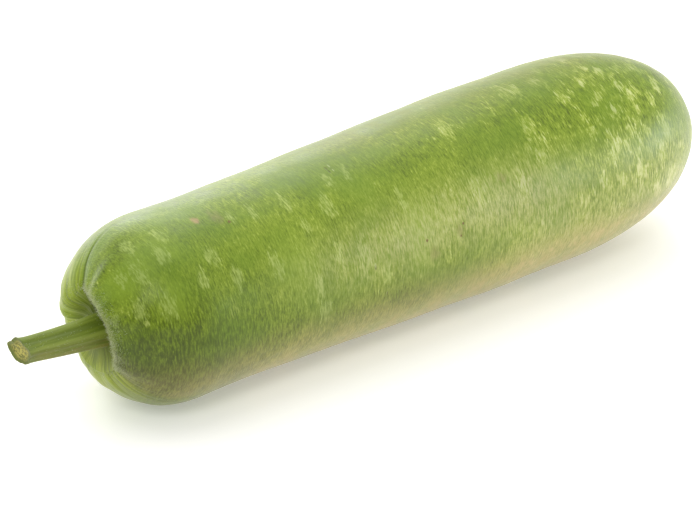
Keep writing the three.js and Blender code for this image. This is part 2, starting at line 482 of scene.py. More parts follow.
def body_radius(share):
    """Smooth curve through the body radii, as one polynomial."""
    total = 0.0
    for i, radius in enumerate(BODY_RADII):
        weight = 1.0
        for j, station in enumerate(BODY_STATIONS):
            if j != i:
                weight = weight * (share - station) / (BODY_STATIONS[i] - station)
        total = total + radius * weight
    return total


def rounded_end(distance, length, powers):
    """Quarter of a superellipse: 0 at the end, 1 where the rounding is over."""
    return (1 - fading(distance, length) ** powers[0]) ** (1 / powers[1])


def fruit_radius(s):
    rim = RIM_RADIUS / BODY_RADII[0]
    shoulder = rim + (1 - rim) * rounded_end(s, SHOULDER_LENGTH, SHOULDER_POWERS)
    blossom = rounded_end(FRUIT_LENGTH - s, BLOSSOM_LENGTH, BLOSSOM_POWERS)
    return body_radius(s / FRUIT_LENGTH) * shoulder * blossom


def plain_outline():
    """Half outline from the middle of the hollow to the blossom end: s, r and share of the creases."""
    share = np.linspace(0, 1, HOLLOW_POINTS, endpoint=False)
    floor_r = np.linspace(FIRST_RADIUS, HOLLOW_FLOOR_RADIUS, FLOOR_POINTS, endpoint=False)
    along = FRUIT_LENGTH / 2 * (1 - np.cos(np.pi * np.linspace(0, LAST_TURN, OUTLINE_POINTS)))
    s = np.concatenate([np.full_like(floor_r, HOLLOW_DEPTH),
                        HOLLOW_DEPTH * np.cos(np.pi / 2 * share) ** 2, along])
    r = np.concatenate([floor_r, HOLLOW_FLOOR_RADIUS + (RIM_RADIUS - HOLLOW_FLOOR_RADIUS) * share,
                        fruit_radius(along)])
    crease = np.concatenate([np.zeros_like(floor_r), np.sin(np.pi / 2 * share),
                             fading(along, CREASE_REACH) ** CREASE_FADE])
    return s, r, crease


def rounded_crest(values, arc):
    """The same outline with the crest of the lobes rounded off: a running mean over arc length."""
    even = np.linspace(arc[0], arc[-1], OUTLINE_POINTS)
    plain = np.interp(even, arc, values)
    reach = np.arange(-MEAN_REACH * CREST_ROUNDING, MEAN_REACH * CREST_ROUNDING, even[1] - even[0])
    weights = np.exp(-0.5 * (reach / CREST_ROUNDING) ** 2)
    padded = np.pad(plain, len(reach), mode="edge")
    mean = np.convolve(padded, weights / weights.sum(), mode="same")[len(reach):-len(reach)]
    share = np.exp(-((even - CREST_ARC) / CREST_SPAN) ** 4)
    return np.interp(arc, even, plain * (1 - share) + mean * share)


def mesh_stops(length):
    """Places of the mesh's rings along the outline."""
    stops = [0.0]
    while stops[-1] < length:
        body = rise(stops[-1], FINE_SPAN, FINE_SPAN + STEP_CHANGE)
        tip = np.clip((length - stops[-1]) / STEP_CHANGE, TIP_STEP_SHARE, 1)
        stops.append(stops[-1] + (FINE_STEP + (COARSE_STEP - FINE_STEP) * body) * tip)
    return np.array(stops[:-1])


def fruit_outline():
    """Outline at the mesh's rings: s, r, share of the creases and arc length."""
    s, r, crease = plain_outline()
    arc = np.concatenate([[0], np.cumsum(np.hypot(np.diff(s), np.diff(r)))])
    s, r = (rounded_crest(values, arc) for values in (s, r))
    arcs = mesh_stops(arc[-1])
    return [np.interp(arcs, arc, values) for values in (s, r, crease)] + [arcs]


def each_lobe(angles):
    """Number of each lobe, with how far the angles are into it: from 0 to 1 on the lobe, more beyond it."""
    for i, start in enumerate(CREASE_ANGLES):
        width = (CREASE_ANGLES[(i + 1) % len(CREASE_ANGLES)] - start) % 360
        yield i, (angles - start) % 360 / width


def lobe_depth(angles):
    """Depth below the plain outline at each angle, where the creases are at their deepest."""
    depth = np.full_like(angles, CREASE_DEPTH)
    for i, share in each_lobe(angles):
        inside = share < 1
        swell = np.sin(np.pi * share[inside]) ** LOBE_FULLNESS
        depth[inside] = CREASE_DEPTH * (1 - swell) + LOBE_SETBACKS[i] * swell
    apart = gap_degrees(angles[None, :], angles[:, None])
    softness = np.exp(-(gap_degrees(angles, CREASE_ANGLES[0]) / SOFT_CREASE_SPAN) ** 2)
    rounding = CREASE_ROUNDING + (SOFT_CREASE_ROUNDING - CREASE_ROUNDING) * softness
    weights = np.exp(-0.5 * (apart / rounding[:, None]) ** 2)
    return weights @ depth / weights.sum(1)


def hollow_filling(axis_s, r, angles):
    """How far the lobes beside the stem stand out of the plain hollow."""
    filling = np.zeros_like(axis_s)
    within = smooth(FILL_RADIUS - r, 0, FILL_FADE)[:, None]
    for i, share in each_lobe(angles):
        swell = np.where(share < 1, np.sin(np.pi * share), 0) ** FILL_FULLNESS
        excess = axis_s - LOBE_SETBACKS[i] - (RIM_RADIUS - r)[:, None] * FILL_SLOPE
        filling += LOBE_FILLS[i] * swell * within * (np.hypot(excess, FILL_BLEND) + excess) / 2
    return filling


# Fine relief

def across_fold(r, angles, middle):
    """Distance of each point from a fold, round the fruit."""
    return np.radians(gap_degrees(angles, middle))[None, :] * r[:, None]


def crease_folds(s, r, angles):
    """Narrow folds along the creases, with fine wrinkles beside them."""
    relief = np.zeros((len(s), len(angles)))
    for middle, depth, reach, _ in FOLDS:
        fade = fading(s, reach)[:, None]
        across = across_fold(r, angles, middle)
        relief -= depth * fade * np.exp(-(across / FOLD_WIDTH) ** 2)
        if middle in CREASE_ANGLES:
            near = np.exp(-(across / WRINKLE_BAND) ** 2)
            ripple = np.cos(2 * np.pi * across / WRINKLE_SPACING + WRINKLE_SLANT * s[:, None])
            relief += WRINKLE_HEIGHT * np.sqrt(fade) * near * ripple
    return relief


def fold_shade(s, r, angles):
    """Share of the painted shade at the bottom of the folds."""
    tone = np.zeros((len(s), len(angles)))
    for middle, _, reach, share in FOLDS:
        fade = fading(s, reach)[:, None] ** FOLD_SHADE_FADE
        tone += share * fade * np.exp(-(across_fold(r, angles, middle) / FOLD_WIDTH) ** 2)
    return tone


def beyond_front_lobe(angles):
    """1 on the two lobes away from the camera and 0 on the front one, with soft changes."""
    first, last = CREASE_ANGLES[0], CREASE_ANGLES[-1]
    return np.clip(np.minimum(angles - first, last - angles) / LOBE_CHANGE, 0, 1)


def hollow_ridges(s, arcs, angles):
    """Fine ridges that run out of the hollow over the lobes away from the camera."""
    reach = fading(s, HOLLOW_REACH)[:, None] ** RIDGE_FADE
    bend = RIDGE_BEND * np.sin(arcs / RIDGE_BEND_LENGTH)[:, None]
    turn = HOLLOW_RIDGES * np.radians(angles)[None, :]
    height, number = SECOND_RIDGES
    ridge = np.sin(turn + bend) + height * np.sin(number * turn - 2 * bend)
    return HOLLOW_RIDGE_HEIGHT * reach * ridge * beyond_front_lobe(angles)


def blossom_scar(r, s):
    """Small corky dimple with a navel, where the flower was."""
    dimple = -BLOSSOM_SCAR_DEPTH * np.exp(-(r / BLOSSOM_SCAR_RADIUS) ** 2)
    navel = BLOSSOM_NAVEL_HEIGHT * np.exp(-(r / BLOSSOM_NAVEL_RADIUS) ** 4)
    return np.where(s > FRUIT_LENGTH / 2, dimple + navel, 0.0)


def fine_relief(s, r, arcs, angles, skin):
    """Height of the skin's fine forms above the lobed outline."""
    relief = crease_folds(s, r, angles) + hollow_ridges(s, arcs, angles)
    relief += blossom_scar(r, s)[:, None]
    pucker_fade = fading(s, PUCKER_REACH)[:, None]
    relief += PUCKER_HEIGHT * pucker_fade * waves(skin * np.array(PUCKER_SCALE), PUCKER_LENGTH)
    relief += SWELL_HEIGHT * waves(skin, SWELL_LENGTH) + DIMPLE_HEIGHT * waves(skin, DIMPLE_LENGTH)
    return relief * rise(r, *RELIEF_RADII)[:, None]


def skin_coordinates(arcs, angles):
    """Place of each point on an even tube, where grain has the same size all over."""
    turn = np.radians(angles)
    skin = np.empty((len(arcs), len(angles), 3))
    skin[..., 0] = arcs[:, None]
    skin[..., 1] = -BODY_RADII[2] * np.sin(turn)
    skin[..., 2] = BODY_RADII[2] * np.cos(turn)
    return skin


def fruit_surface(angles):
    """Points of the fine fruit about its axis, their skin coordinates, and the outline at its rings."""
    s, r, crease, arcs = fruit_outline()
    span = np.hypot(np.gradient(s), np.gradient(r))
    inward_s = np.gradient(r) / span
    inward_r = -np.gradient(s) / span
    skin = skin_coordinates(arcs, angles)
    depth = crease[:, None] * lobe_depth(angles)[None, :] - fine_relief(s, r, arcs, angles, skin)
    axis_s = s[:, None] + depth * inward_s[:, None]
    axis_r = r[:, None] + depth * inward_r[:, None]
    stem_end = (s < FRUIT_LENGTH / 2)[:, None]
    axis_s = axis_s - hollow_filling(axis_s, r, angles) * stem_end
    turn = np.radians(angles)
    points = np.stack([axis_s, -axis_r * np.sin(turn), axis_r * np.cos(turn)], -1)
    return points, skin, s, r, arcs


# From the fruit's axis to the frame

def rest_turn():
    climb = fruit_radius(LEVEL_TO * FRUIT_LENGTH) - fruit_radius(LEVEL_FROM * FRUIT_LENGTH)
    return math.atan2(climb, (LEVEL_TO - LEVEL_FROM) * FRUIT_LENGTH)


def laid(points):
    """Points turned so that the underside lies level."""
    cosine, sine = math.cos(rest_turn()), math.sin(rest_turn())
    x, y, z = points[..., 0], points[..., 1], points[..., 2]
    return np.stack([x * cosine - z * sine, y, x * sine + z * cosine], -1)


# Meshes through rings of points

def ring_and_side(rings, sides):
    """Ring number and side number of each quad, in the order of the faces."""
    return (grid.ravel() for grid in np.meshgrid(np.arange(rings - 1), np.arange(sides), indexing="ij"))


def lathe_faces(rings, sides):
    """Quads between the rings, then triangles that close the first ring and the last."""
    i, j = ring_and_side(rings, sides)
    right = (j + 1) % sides
    quads = np.stack([i * sides + j, i * sides + right, (i + 1) * sides + right, (i + 1) * sides + j], -1)
    column = np.arange(sides)
    beside = (column + 1) % sides
    middle = rings * sides
    end = (rings - 1) * sides
    first = np.stack([np.full(sides, middle), beside, column], -1)
    last = np.stack([np.full(sides, middle + 1), end + column, end + beside], -1)
    return quads.tolist() + first.tolist() + last.tolist()


def lathe_uv(arcs, sides):
    """Texture coordinates of each face corner: the turn goes across, the arc length up."""
    i, j = ring_and_side(len(arcs), sides)
    height = arcs / arcs[-1] * (1 - 2 * UV_EDGE) + UV_EDGE
    across = np.stack([j, j + 1, j + 1, j], -1) / sides
    along = np.stack([height[i], height[i], height[i + 1], height[i + 1]], -1)
    column = np.arange(sides)
    first_across = np.stack([column + 0.5, column + 1, column], -1) / sides
    first_along = np.tile([0.0, height[0], height[0]], (sides, 1))
    last_across = np.stack([column + 0.5, column, column + 1], -1) / sides
    last_along = np.tile([1.0, height[-1], height[-1]], (sides, 1))
    u = np.concatenate([part.ravel() for part in (across, first_across, last_across)])
    v = np.concatenate([part.ravel() for part in (along, first_along, last_along)])
    return np.stack([u, v], -1).astype(np.float32).ravel()


def add_attribute(mesh, name, values):
    """Attribute with a number or a vector for each ring point. Each end's middle takes its ring's mean."""
    kind, key = ("FLOAT_VECTOR", "vector") if values.ndim == 3 else ("FLOAT", "value")
    ends = np.stack([values[0].mean(0), values[-1].mean(0)])
    listed = values.reshape((-1,) + values.shape[2:])
    attribute = mesh.attributes.new(name, kind, "POINT")
    attribute.data.foreach_set(key, np.concatenate([listed, ends]).astype(np.float32).ravel())


def lathe_object(name, points, arcs, fields):
    """Piece through rings of points, closed at both ends, with its fields as point attributes."""
    rings, sides = points.shape[:2]
    ends = [points[0].mean(0), points[-1].mean(0)]
    vertices = np.concatenate([points.reshape(-1, 3), ends]) * MM
    mesh = bpy.data.meshes.new(name)
    mesh.from_pydata(vertices.tolist(), [], lathe_faces(rings, sides))
    layer = mesh.uv_layers.new(name="OFBake")
    layer.uv.foreach_set("vector", lathe_uv(arcs, sides))
    for key, values in fields.items():
        add_attribute(mesh, key, values)
    mesh.shade_smooth()
    return add_object(name, mesh)


# Camera

def camera_axes():
    """Camera position in millimetres, with its forward, right and up directions."""
    azimuth, elevation = math.radians(CAMERA_AZIMUTH), math.radians(CAMERA_ELEVATION)
    back = np.array([math.sin(azimuth) * math.cos(elevation),
                     -math.cos(azimuth) * math.cos(elevation), math.sin(elevation)])
    right = np.array([math.cos(azimuth), math.sin(azimuth), 0.0])
    eye = np.array(CAMERA_TARGET) + CAMERA_DISTANCE * back
    return eye, -back, right, np.cross(right, -back)


def make_camera():
    eye, forward, _, _ = camera_axes()
    data = bpy.data.cameras.new("camera")
    data.sensor_width = SENSOR_WIDTH
    data.lens = FOCAL_PIXELS / IMAGE_WIDTH * SENSOR_WIDTH
    made = add_object("camera", data)
    made.location = Vector(eye) * MM
    made.rotation_euler = Vector(forward).to_track_quat("-Z", "Y").to_euler()
    bpy.context.scene.camera = made


# Marks on the skin

def nearest_index(points, pixel):
    """Index of the surface point that the pixel shows."""
    eye, forward, right, up = camera_axes()
    ray = forward + right * (pixel[0] - IMAGE_WIDTH / 2) / FOCAL_PIXELS
    ray = ray - up * (pixel[1] - IMAGE_HEIGHT / 2) / FOCAL_PIXELS
    ray /= np.linalg.norm(ray)
    offset = points.reshape(-1, 3) - eye
    depth = offset @ ray
    miss = np.linalg.norm(offset - depth[:, None] * ray, axis=1)
    close = np.flatnonzero(miss < miss.min() + PICK_MISS)
    front = close[depth[close] < depth[close].min() + PICK_DEPTH]
    return front[np.argmin(miss[front])]


def mark_field(points, skin, marks, stretch=MARK_STRETCH):
    """1 in the middle of each mark and 0 at its edge, falling to -1 outside."""
    field = np.full(points.shape[:2], -1.0)
    for across, down, radius in marks:
        middle = skin.reshape(-1, 3)[nearest_index(points, (across, down))]
        away = (skin - middle) * np.array([1.0, 1 / stretch, 1 / stretch])
        field = np.maximum(field, 1 - np.linalg.norm(away, axis=-1) / radius)
    return field


def small_marks(points, skin, marks):
    """Middle in skin coordinates and half sizes of small marks."""
    listed = []
    for across, down, along, around in marks:
        middle = skin.reshape(-1, 3)[nearest_index(points, (across, down))]
        listed.append((middle, (along, around, around)))
    return listed


def along_fruit(values):
    """Values that change along the fruit only, repeated round it."""
    return np.repeat(values[:, None], FRUIT_SIDES, 1)


def soft_area(s, angles, area):
    """Share of an area that fades along the fruit and round it."""
    start, end, middle, spread, share = area
    along = smooth(s, *start) * (1 - smooth(s, *end))
    return share * along[:, None] * np.exp(-(gap_degrees(angles, middle) / spread) ** 2)[None, :]


def underside_spot_and_bounce_share(height, s, angles):
    """How pale the underside is, as a pale ground spot with painted bounce light: least on the lobes away
    from the camera, most towards the blossom end.
    """
    along = UNDER_START + sum(gain * smooth(s, *span) for gain, span in UNDER_GAINS)
    lobes = beyond_front_lobe(angles)[None, :] * (1 - smooth(s, *UNDER_LOBE_SPAN))[:, None]
    share = smooth(height, *UNDER_HEIGHTS) * along[:, None] * (1 - UNDER_LOBE_LOSS * lobes)
    return np.clip(share, 0, 1)


def stem_end_fields(s, r, arcs, angles):
    """Fields of the hollow, the painted shade in its middle and in its folds, the down, and the pale crest
    edge of fine hair with a painted sheen.
    """
    beyond_crest = arcs - arcs[np.argmin(s)]
    at_stem = s < FRUIT_LENGTH / 2
    far_lobes = beyond_front_lobe(angles)
    inside = along_fruit(rise(-beyond_crest, 0, HOLLOW_EDGE))
    round_stem = along_fruit(at_stem * fading(s, HOLLOW_REACH)) * far_lobes
    fuzz_and_sheen = np.exp(-((beyond_crest - FUZZ_AND_SHEEN_OFFSET) / FUZZ_AND_SHEEN_BAND) ** 2)
    return {
        "hollow": np.maximum(inside, round_stem),
        "hollow_shade": along_fruit(at_stem * smooth(r, *HOLLOW_SHADE_RADII)),
        "downy": along_fruit(fading(arcs, DOWNY_REACH)),
        "fuzz_and_sheen": along_fruit(fuzz_and_sheen) * (1 - far_lobes),
        "fold": fold_shade(s, r, angles),
    }


def fruit_fields(points, skin, s, r, arcs, angles):
    """All the fields that the skin's material reads."""
    fields = stem_end_fields(s, r, arcs, angles)
    at_blossom = s > FRUIT_LENGTH / 2
    fields.update({
        "skin": skin,
        "pale": mark_field(points, skin, PALE_BLOTCHES),
        "faint": mark_field(points, skin, FAINT_STROKES, STROKE_STRETCH),
        # Lime patches, partly painted light
        "lime_and_painted_light": mark_field(points, skin, LIME_AND_PAINTED_LIGHT_PATCHES),
        # Patches of painted shade
        "dark": mark_field(points, skin, PAINTED_SHADE_PATCHES),
        "brown": mark_field(points, skin, BROWN_PATCHES),
        "pink": mark_field(points, skin, PINK_SCARS),
        # Painted highlight, with paler skin at the blossom end
        "light": soft_area(s, angles, PAINTED_FLANK_HIGHLIGHT) + soft_area(s, angles, BLOSSOM_PALE_AND_PAINTED_HIGHLIGHT),
        # Painted shade
        "shade": soft_area(s, angles, STEM_END_SHADE) + soft_area(s, angles, LOW_SHADE),
        "bleach": soft_area(s, angles, BLEACHED_TOP),
        "under": underside_spot_and_bounce_share(points[..., 2], s, angles),
        "scar": along_fruit(at_blossom * np.exp(-(r / BLOSSOM_SCAR_RADIUS) ** 2)),
        "ripe": along_fruit(rise(s, *RIPE_SPAN)),
    })
    return fields


# Materials

def smooth_range(tree, bounds):
    """Node that takes a value smoothly from one range to another."""
    node = tree.nodes.new("ShaderNodeMapRange")
    node.interpolation_type = "SMOOTHSTEP"
    for key, number in zip(RANGE_SOCKETS, bounds):
        node.inputs[key].default_value = number
    return node


class Shader:
    """Short calls that add nodes to one material."""

    # Shift of a noise along each axis, and where small spots start and are full, as shares of their size
    NOISE_SHIFTS = (1.0, 1.7, 2.3)
    SPOT_EDGE = (1.2, 0.6)

    def __init__(self, name):
        self.material = bpy.data.materials.new(name)
        self.material.use_nodes = True
        self.tree = self.material.node_tree
        self.surface = self.tree.nodes["Principled BSDF"]

    def feed(self, socket, value):
        if isinstance(value, bpy.types.NodeSocket):
            self.tree.links.new(value, socket)
        else:
            socket.default_value = value

    def set_surface(self, key, value):
        self.feed(self.surface.inputs[key], value)

    def sheen(self, weight, roughness, tint):
        self.set_surface("Sheen Weight", weight)
        self.set_surface("Sheen Roughness", roughness)
        self.set_surface("Sheen Tint", linear(tint))

    def attribute(self, name, output="Fac"):
        node = self.tree.nodes.new("ShaderNodeAttribute")
        node.attribute_name = name
        return node.outputs[output]

    def vector(self, operation, a, b=(0.0, 0.0, 0.0), output="Vector"):
        node = self.tree.nodes.new("ShaderNodeVectorMath")
        node.operation = operation
        self.feed(node.inputs[0], a)
        self.feed(node.inputs[1], b)
        return node.outputs[output]

    def noise(self, where, grain, detail=2.0, roughness=0.5, shift=0.0):
        """Noise with grains of a given length along the first axis and round it."""
        along, around = grain
        scaled = self.vector("MULTIPLY", where, (1 / along, 1 / around, 1 / around))
        moved = self.vector("ADD", scaled, tuple(shift * share for share in self.NOISE_SHIFTS))
        node = self.tree.nodes.new("ShaderNodeTexNoise")
        self.feed(node.inputs["Vector"], moved)
        node.inputs["Scale"].default_value = 1.0
        node.inputs["Detail"].default_value = detail
        node.inputs["Roughness"].default_value = roughness
        return node.outputs["Fac"]

    def math(self, operation, a, b):
        node = self.tree.nodes.new("ShaderNodeMath")
        node.operation = operation
        self.feed(node.inputs[0], a)
        self.feed(node.inputs[1], b)
        return node.outputs["Value"]

    def add(self, a, b):
        return self.math("ADD", a, b)

    def times(self, a, b):
        return self.math("MULTIPLY", a, b)

    def step(self, value, low, high, to_low=0.0, to_high=1.0):
        """Smooth step of a value from one bound to the other."""
        node = smooth_range(self.tree, (low, high, to_low, to_high))
        self.feed(node.inputs["Value"], value)
        return node.outputs["Result"]

    def mix(self, share, a, b):
        node = self.tree.nodes.new("ShaderNodeMix")
        node.data_type = "RGBA"
        self.feed(node.inputs["Factor"], share)
        self.feed(node.inputs[MIX_FIRST], a)
        self.feed(node.inputs[MIX_SECOND], b)
        return node.outputs[MIX_RESULT]

    def layered(self, colour, layers):
        """Colour with layers laid over it, each given by its share and its tone."""
        for share, tone in layers:
            colour = self.mix(share, colour, linear(tone))
        return colour

    def ramp(self, value, stops):
        """Colours at given values, blended evenly between them."""
        node = self.tree.nodes.new("ShaderNodeValToRGB")
        while len(node.color_ramp.elements) < len(stops):
            node.color_ramp.elements.new(0.5)
        for element, (place, code) in zip(node.color_ramp.elements, stops):
            element.position = place
            element.color = linear(code)
        self.feed(node.inputs["Fac"], value)
        return node.outputs["Color"]

    def weighted(self, parts, start):
        """Sum of weighted noises about their middle value, from a start value."""
        total = start
        for noise, weight in parts:
            total = self.add(self.times(self.math("SUBTRACT", noise, 0.5), weight), total)
        return total

    def spots(self, where, marks):
        """1 inside small marks given by their middle and half sizes, and 0 outside."""
        total = 0.0
        for middle, sizes in marks:
            away = self.vector("SUBTRACT", where, tuple(middle))
            scaled = self.vector("MULTIPLY", away, tuple(1 / size for size in sizes))
            distance = self.vector("LENGTH", scaled, output="Value")
            total = self.math("MAXIMUM", self.step(distance, *self.SPOT_EDGE), total)
        return total

    def bump(self, height, distance, strength):
        node = self.tree.nodes.new("ShaderNodeBump")
        node.inputs["Strength"].default_value = strength
        node.inputs["Distance"].default_value = distance
        self.feed(node.inputs["Height"], height)
        self.set_surface("Normal", node.outputs["Normal"])


class GrainedShader(Shader):
    """Shader with named noises on a piece's skin coordinates."""

    def __init__(self, name, noises):
        super().__init__(name)
        self.where = self.attribute("skin", "Vector")
        self.grains = {key: self.noise(self.where, *row) for key, row in noises.items()}

    def grain_sum(self, weights, start=0.0):
        """Weighted sum of noises given by name."""
        return self.weighted([(self.grains[key], weight) for key, weight in weights], start)

    def ragged(self, field, weights, bounds):
        """Share of a mark whose edge is broken up by noises."""
        return self.step(self.add(self.attribute(field), self.grain_sum(weights)), *bounds)

    def streaked(self, field, key, bounds):
        """Share of an area that comes and goes with a noise."""
        return self.times(self.attribute(field), self.step(self.grains[key], *bounds))


def skin_lightness(m, marks):
    """Place of each point of the skin on the ramp of tones."""
    ripe = m.attribute("ripe")
    fleck = m.add(m.grain_sum(FLECK_WEIGHTS, 0.5), m.times(ripe, RIPE_FLECKS))
    value = m.add(m.grain_sum(LIGHTNESS_WEIGHTS, 0.5), m.times(ripe, m.grain_sum(RIPE_WEIGHTS)))
    parts = {key: m.attribute(key) for key in ("light", "shade")}
    parts.update(marks, fleck=m.step(fleck, *FLECK_RANGE))
    # The light gain is painted highlight with paler skin at the blossom end; the dark and shade gains are
    # painted shade
    for key, gain in LIGHTNESS_GAINS:
        value = m.add(value, m.times(parts[key], gain))
    return value


def skin_colour(m, marks, dots, scratches, lips):
    """Colour of the skin: its tones, with layers for each area and mark laid over them."""
    colour = m.layered(m.ramp(skin_lightness(m, marks), SKIN_TONES), (
        (m.step(m.grains["green"], *GREEN_SHARE), GREEN_TONE),
        # Painted shade
        (m.streaked("shade", "streak", SHADE_SHARE), SHADE_TONE),
        (m.streaked("bleach", "patch", BLEACH_SHARE), BLEACH_TONE),
        # Lime patches, partly painted light
        (marks["lime_and_painted_light"], LIME_AND_PAINTED_LIGHT_TONE),
        (m.times(marks["faint"], m.step(m.grains["streak"], *STROKE_SHARE)), STROKE_TONE),
        # Painted highlight, with paler skin at the blossom end
        (m.streaked("light", "streak", PAINTED_HIGHLIGHT_AND_PALE_SHARE), PAINTED_HIGHLIGHT_AND_PALE_TONE),
    ))
    hollow = m.ramp(m.grains["radial"], HOLLOW_TONES)
    colour = m.mix(m.times(m.attribute("hollow"), HOLLOW_SHARE), colour, hollow)
    under = m.step(m.grain_sum(UNDER_WEIGHTS, 0.5), *UNDER_SHARE)
    return m.layered(colour, (
        # Painted shade in the hollow round the stem
        (m.streaked("hollow_shade", "radial", HOLLOW_SHADE_SHARE), HOLLOW_SHADE_TONE),
        # Painted shade in the folds
        (m.attribute("fold"), FOLD_SHADE_TONE),
        # Pale crest edge: fuzz with a painted sheen
        (m.streaked("fuzz_and_sheen", "edge", FUZZ_AND_SHEEN_SHARE), FUZZ_AND_SHEEN_TONE),
        (marks["brown"], BROWN_TONE),
        (marks["scar"], CORK_TONE),
        (marks["pink"], PINK_TONE),
        (m.times(scratches, SCRATCH_SHARE), SCRATCH_TONE),
        (m.times(lips, LIP_SHARE), LIP_TONE),
        (m.times(dots, DOT_SHARE), DOT_TONE),
        # Pale ground spot with painted bounce light from the floor
        (m.times(m.attribute("under"), under), UNDERSIDE_SPOT_AND_BOUNCE_TONE),
    ))


def skin_material(small):
    m = GrainedShader("gourd_skin", SKIN_NOISES)
    marks = {field: m.ragged(field, *row) for field, row in RAGGED_MARKS.items()}
    dots, scratches, lips = (m.spots(m.where, listed) for listed in small)
    m.set_surface("Base Color", skin_colour(m, marks, dots, scratches, lips))
    downy = m.times(m.attribute("downy"), DOWNY_ROUGHNESS)
    m.set_surface("Roughness", m.add(m.step(m.grains["patch"], *SKIN_ROUGHNESS), downy))
    height = m.weighted([(m.grains["streak"], STREAK_BUMP), (m.grains["grain"], GRAIN_BUMP),
                         (scratches, SCRATCH_BUMP), (lips, LIP_BUMP)], 0.5)
    m.bump(height, *SKIN_BUMP)
    m.set_surface("Specular IOR Level", SKIN_SPECULAR)
    m.sheen(*SKIN_SHEEN)
    return m.material


def stem_material():
    m = GrainedShader("gourd_stem", STEM_NOISES)
    rib = m.attribute("rib")
    fibre = m.step(m.grains["fibre"], *FIBRE_RANGE)
    side = m.layered(m.mix(fibre, *map(linear, FIBRE_TONES)), (
        (m.step(rib, *GROOVE_SHARE), GROOVE_TONE),
        (m.step(rib, *RIB_SHARE), RIB_TONE),
        (m.streaked("under", "scuff", SCUFF_SHARE), SCUFF_TONE),
        (m.streaked("near_cut", "bruise", BRUISE_SHARE), BRUISE_TONE),
    ))
    pith = m.step(m.grains["pith"], *PITH_RANGE)
    face = m.layered(m.mix(pith, *map(linear, PITH_TONES)), (
        (m.ragged("rim", BARK_WEIGHTS, BARK_SHARE), BARK_TONE),
    ))
    m.set_surface("Base Color", m.mix(m.attribute("cut"), side, face))
    m.bump(m.grains["fibre"], *STEM_BUMP)
    m.set_surface("Roughness", STEM_ROUGHNESS)
    m.set_surface("Specular IOR Level", STEM_SPECULAR)
    m.sheen(*STEM_SHEEN)
    return m.material


def hair_material():
    m = Shader("gourd_hair")
    m.set_surface("Base Color", m.mix(m.attribute("tip"), *map(linear, HAIR_TONES)))
    m.set_surface("Roughness", HAIR_ROUGHNESS)
    return m.material


def floor_material():
    m = Shader("floor")
    place = m.tree.nodes.new("ShaderNodeTexCoord").outputs["Object"]
    m.set_surface("Base Color", m.mix(m.noise(place, FLOOR_GRAIN), *map(linear, FLOOR_TONES)))
    m.set_surface("Roughness", FLOOR_ROUGHNESS)
    m.set_surface("Emission Color", linear(WHITE))
    m.set_surface("Emission Strength", FLOOR_GLOW)
    return m.material


# Pieces

def fruit_hair_weight(s, arcs, angles):
    """How thickly hairs stand at each point of the fruit."""
    beyond_crest = arcs - arcs[np.argmin(s)]
    band = along_fruit(np.exp(-((beyond_crest - HAIR_OFFSET) / HAIR_BAND) ** 2))
    return (band * (1 - HAIR_LOSS * beyond_front_lobe(angles))).ravel()


def make_fruit():
    """The fruit, with the shift that puts its axis in place and the weight of its hairs."""
    angles = side_angles(FRUIT_SIDES)
    axis_points, skin, s, r, arcs = fruit_surface(angles)
    points = laid(axis_points)
    level = points[..., 2].min() + REST_FLAT_DEPTH
    points[..., 2] = np.maximum(points[..., 2], level)
    _, cad_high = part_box("fruit")
    shift = np.array([cad_high.x / MM - points[..., 0].max(), 0.0, -level])
    points += shift
    made = lathe_object("gourd_fruit", points, arcs, fruit_fields(points, skin, s, r, arcs, angles))
    small = [small_marks(points, skin, marks) for marks in (DARK_DOTS, SCRATCHES, SCRATCH_LIPS)]
    made.data.materials.append(skin_material(small))
    return made, shift, fruit_hair_weight(s, arcs, angles)


def stem_body(angles):
    """Side of the stem from its cut to its foot, about the fruit's axis."""
    share = np.linspace(1, 0, STEM_RINGS)[:, None]
    flare = FOOT_FLARE * (1 - share) ** FOOT_FLARE_POWER
    radius = STEM_RADIUS + (STEM_CUT_RADIUS - STEM_RADIUS) * share + flare
    lip = LIP_FLARE * np.exp(-(1 - share) * STEM_LENGTH / LIP_LENGTH)
    radius = radius * (1 + lip * (1 + NOTCH_DEPTH * np.cos(LIP_NOTCHES * angles)))
    ribs = RIB_HEIGHT * np.cos(RIB_COUNT * angles)
    fine_ribs = FINE_RIB_HEIGHT * np.cos(FINE_RIB_COUNT * angles + FINE_RIB_TURN)
    radius = radius * (1 + ribs + fine_ribs)
    rise_here = STEM_RISE * share ** STEM_RISE_POWER
    slant = CUT_SLANT * (1 - np.cos(angles - math.radians(CUT_SLANT_ANGLE + 180))) / 2
    foot = HOLLOW_DEPTH + STEM_SINK
    s = foot + (HOLLOW_DEPTH - STEM_LENGTH + slant - foot) * share
    return np.stack([s, -radius * np.sin(angles), radius * np.cos(angles) + rise_here], -1)


def cut_face(edge):
    """Dished face inside the edge of the stem's cut, and the share of the edge at each of its rings."""
    share = np.linspace(*FACE_SHARES, STEM_FACE_RINGS)[:, None, None]
    middle = edge.mean(0)
    face = middle + (edge - middle)[None] * share
    face[..., 0] += CUT_DISH * (1 - share[..., 0] ** CUT_DISH_POWER)
    return face, share[..., 0]


